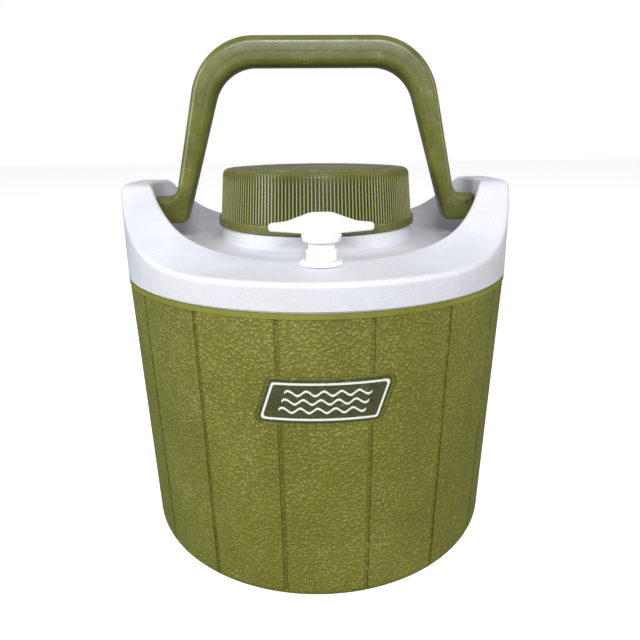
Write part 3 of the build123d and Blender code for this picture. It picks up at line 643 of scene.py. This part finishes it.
# ------------------------------------------------------------------ the jug's sub-assemblies
@dataclass
class SubAssembly:
    """A group of CAD nodes with their finishes."""

    shop: Workshop
    nodes: ClassVar[dict[str, FinishName]] = {}

    def dress(self) -> None:
        """Dress every node of the group."""
        for node, finish in self.nodes.items():
            self.shop.dress_node(node, finish)

    def build(self) -> None:
        """Model the pieces that the CAD leaves out; most groups have none."""


class Body(SubAssembly):
    """Staved shell, foam, liner and badge."""

    nodes = {
        "outer_shell": FinishName.SHELL,
        "fill_plug": FinishName.SHELL,
        "body_foam": FinishName.FOAM,
        "liner": FinishName.WHITE,
        "neck_seal": FinishName.RUBBER,
        "badge_plate": FinishName.FOIL,
        "badge_print": FinishName.INK,
    }


class Top(SubAssembly):
    """White shoulder with the pour spout."""

    nodes = {
        "shoulder": FinishName.SHOULDER,
        "spout_grommet": FinishName.WHITE,
        "pour_spout": FinishName.WHITE,
        "spout_seal": FinishName.RUBBER,
        "spout_stopper": FinishName.WHITE,
        "stopper_seal": FinishName.RUBBER,
    }


@dataclass
class Bail(SubAssembly):
    """Carrying handle, its pivot clips and the flash left where its mould halves met."""

    nodes = {
        "bail_handle": FinishName.OLIVE,
        "pivot_clips": FinishName.STEEL,
    }
    foot_end: float = 96.3 * MM      # outer end of the flash, on the foot
    foot_z: float = 0.9 * MM         # height of the flash over the pivot, on the foot
    knee: float = 80.2 * MM          # where the flash turns up into the leg
    knee_radius: float = 5.0 * MM
    grip_half: float = 57.7 * MM     # where the leg's and the grip's lines would meet
    grip_radius: float = 31.0 * MM
    grip_thick: float = 16.5 * MM
    half_depth: float = 7.5 * MM
    proud: float = 0.22 * MM
    sunk: float = 0.2 * MM
    width: float = 0.5 * MM
    steps: int = 10

    def corner(self, before: Vector, at: Vector, after: Vector, radius: float) -> list[Vector]:
        """Points of a round corner.

        Args:
            before: point before the corner.
            at: the sharp corner.
            after: point after the corner.
            radius: the rounding.

        Returns:
            Points from the start to the end of the rounding.
        """
        first, last = (before - at).normalized(), (after - at).normalized()
        half = first.angle(last) / 2
        centre = at + (first + last).normalized() * radius / math.sin(half)
        start = at + first * radius / math.tan(half) - centre
        end = at + last * radius / math.tan(half) - centre
        return [centre + start.slerp(end, i / self.steps) * radius
                for i in range(self.steps + 1)]

    def flash_path(self, side: float) -> list[Vector]:
        """Middle line of the flash from one foot over the grip to the other foot.

        Args:
            side: -1 for the front face, 1 for the rear face.

        Returns:
            Points on the handle's face.
        """
        joints = frame["record"]["behaviour"]["joints"]
        pivot = next(j for j in joints if j["name"] == "handle_swing")["pos_m"][2]
        low = pivot + self.foot_z
        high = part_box("bail_handle")[1][2] - self.grip_thick / 2
        y = side * (self.half_depth + (self.proud - self.sunk) / 2)
        foot, knee, bend, middle = (Vector(p) for p in (
            (-self.foot_end, y, low), (-self.knee, y, low),
            (-self.grip_half, y, high), (0.0, y, high)))
        half = [foot, *self.corner(foot, knee, bend, self.knee_radius),
                *self.corner(knee, bend, middle, self.grip_radius)]
        other = [Vector((-p.x, p.y, p.z)) for p in reversed(half)]
        return half + other

    def sweep_flash(self, side: float) -> bpy.types.Object:
        """Extrude a small face along the flash, turning it at every step.

        Args:
            side: -1 for the front face, 1 for the rear face.

        Returns:
            The closed ridge.
        """
        path = self.flash_path(side)
        deselect()
        bpy.ops.mesh.primitive_plane_add(size=1.0, location=path[0],
                                         rotation=(0.0, math.radians(90), 0.0))
        ridge = bpy.context.object
        ridge.scale = (self.width, self.proud + self.sunk, 1.0)
        bpy.ops.object.transform_apply(location=True, rotation=True, scale=True)
        bpy.ops.object.mode_set(mode="EDIT")
        bpy.ops.mesh.select_all(action="SELECT")
        turned = 0.0
        for index in range(1, len(path)):
            step = path[index] - path[index - 1]
            ahead = path[min(index + 1, len(path) - 1)] - path[index - 1]
            heading = math.atan2(ahead.z, ahead.x)
            bpy.ops.mesh.extrude_region_move(TRANSFORM_OT_translate={"value": step})
            bpy.ops.transform.rotate(value=heading - turned, orient_axis="Y",
                                     center_override=path[index])
            turned = heading
        bpy.ops.mesh.select_all(action="SELECT")
        bpy.ops.mesh.normals_make_consistent(inside=False)
        bpy.ops.object.mode_set(mode="OBJECT")
        return ridge

    def build(self) -> None:
        """Flash line on the front and on the rear face."""
        for side, name in ((-1.0, "bail_flash_front"), (1.0, "bail_flash_rear")):
            self.shop.place_piece(self.sweep_flash(side), name, "bail", FinishName.OLIVE)


class Cap(SubAssembly):
    """Screw cap."""

    nodes = {
        "cap_shell": FinishName.RIBS,
        "cap_disc": FinishName.OLIVE,
        "cap_foam": FinishName.FOAM,
        "cap_inner": FinishName.WHITE,
        "cap_gasket": FinishName.RUBBER,
    }


# ------------------------------------------------------------------ studio
@dataclass
class Studio:
    """Pale floor, soft light and the camera."""

    eye: Point = (-10.62 * MM, -349.84 * MM, 238.72 * MM)
    heading: Point = (0.0336, 0.9499, -0.3109)
    roll_degrees: float = 0.527
    lens: float = 31.068
    sensor: float = 36.0
    floor_colour: str = "#f8f8f8"

    def floor(self) -> None:
        """Large plain floor under the jug."""
        deselect()
        bpy.ops.mesh.primitive_plane_add(size=12.0, location=(0, 0, 0))
        floor = bpy.context.object
        floor.name = "studio_floor"
        floor.visible_diffuse = False
        floor.visible_glossy = False
        material = bpy.data.materials.new("matt_paper")
        material.use_nodes = True
        shader = material.node_tree.nodes["Principled BSDF"]
        shader.inputs["Base Color"].default_value = linear(self.floor_colour)
        shader.inputs["Roughness"].default_value = 0.9
        shader.inputs["Specular IOR Level"].default_value = 0.0
        shader.inputs["Emission Color"].default_value = linear("#ffffff")
        shader.inputs["Emission Strength"].default_value = 0.6
        floor.data.materials.append(material)

    def camera(self) -> None:
        """Camera at the height of a person who looks down on the jug."""
        ahead = Vector(self.heading).normalized()
        right = ahead.cross(Vector((0, 0, 1))).normalized()
        up = right.cross(ahead)
        turn = math.radians(self.roll_degrees)
        right, up = (right * math.cos(turn) - up * math.sin(turn),
                     right * math.sin(turn) + up * math.cos(turn))
        data = bpy.data.cameras.new("camera")
        data.sensor_width = self.sensor
        data.lens = self.lens
        data.clip_start = 0.01
        camera = bpy.data.objects.new("camera", data)
        bpy.context.scene.collection.objects.link(camera)
        basis = Matrix((right, up, -ahead)).transposed().to_4x4()
        camera.matrix_world = Matrix.Translation(Vector(self.eye)) @ basis
        bpy.context.scene.camera = camera

    def area_light(self, name: str, place: Point, size: tuple[float, float], watts: float,
                   colour: str) -> None:
        """Rectangular soft light aimed at the jug's middle.

        Args:
            name: the light's name.
            place: where it hangs.
            size: width and height.
            watts: its power.
            colour: hex colour.
        """
        data = bpy.data.lights.new(name, "AREA")
        data.shape = "RECTANGLE"
        data.size, data.size_y = size
        data.energy = watts
        data.color = linear(colour)[:3]
        light = bpy.data.objects.new(name, data)
        bpy.context.scene.collection.objects.link(light)
        aim = Vector((0, 0, AIM_Z)) - Vector(place)
        light.rotation_euler = aim.to_track_quat("-Z", "Y").to_euler()
        light.location = place

    def air(self) -> None:
        """Surroundings that are bright from the horizon up and dim below it."""
        world = bpy.data.worlds.new("studio_air")
        world.use_nodes = True
        tree = world.node_tree
        tree.nodes.clear()
        height = add_node(tree, Kind.SPLIT, {0: add_node(tree, Kind.PLACE, out="Object")},
                          out="Z")
        level = add_node(tree, Kind.RANGE, {"Value": height, 1: -0.2, 2: 0.5, 3: 0.16, 4: 0.38},
                         interpolation_type="SMOOTHSTEP")
        seen = add_node(tree, Kind.RAY, out="Is Camera Ray")
        strength = add_node(tree, Kind.MATH, {0: level, 1: seen}, operation="MAXIMUM")
        light = add_node(tree, Kind.AIR, {"Color": linear("#ffffff"), "Strength": strength})
        add_node(tree, Kind.WORLD, {"Surface": light})
        bpy.context.scene.world = world

    def build(self) -> None:
        """Set up floor, surroundings, panels and camera."""
        self.floor()
        self.air()
        self.area_light("overhead_panel", (0.0, -0.15, 1.25), (1.1, 0.9), 0.8, "#ffffff")
        self.area_light("left_panel", (-1.1, -0.55, 0.65), (0.5, 0.9), 10.0, "#f6fbff")
        self.area_light("right_panel", (1.2, -0.35, 0.60), (0.4, 0.9), 4.0, "#fffaf4")
        self.area_light("front_fill", (0.1, -1.55, 1.0), (1.0, 0.5), 27.0, "#f6f8ff")
        self.camera()
        bpy.context.scene.view_settings.view_transform = "Standard"
        LOG.info("studio ready")


def main() -> None:
    """Build and dress each sub-assembly, then set up the studio."""
    logging.basicConfig(level=logging.INFO, format="%(name)s: %(message)s")
    shop = Workshop()
    for group in (Body(shop), Top(shop), Bail(shop), Cap(shop)):
        group.dress()
        group.build()
    Studio().build()


if __name__ == "__main__":
    main()
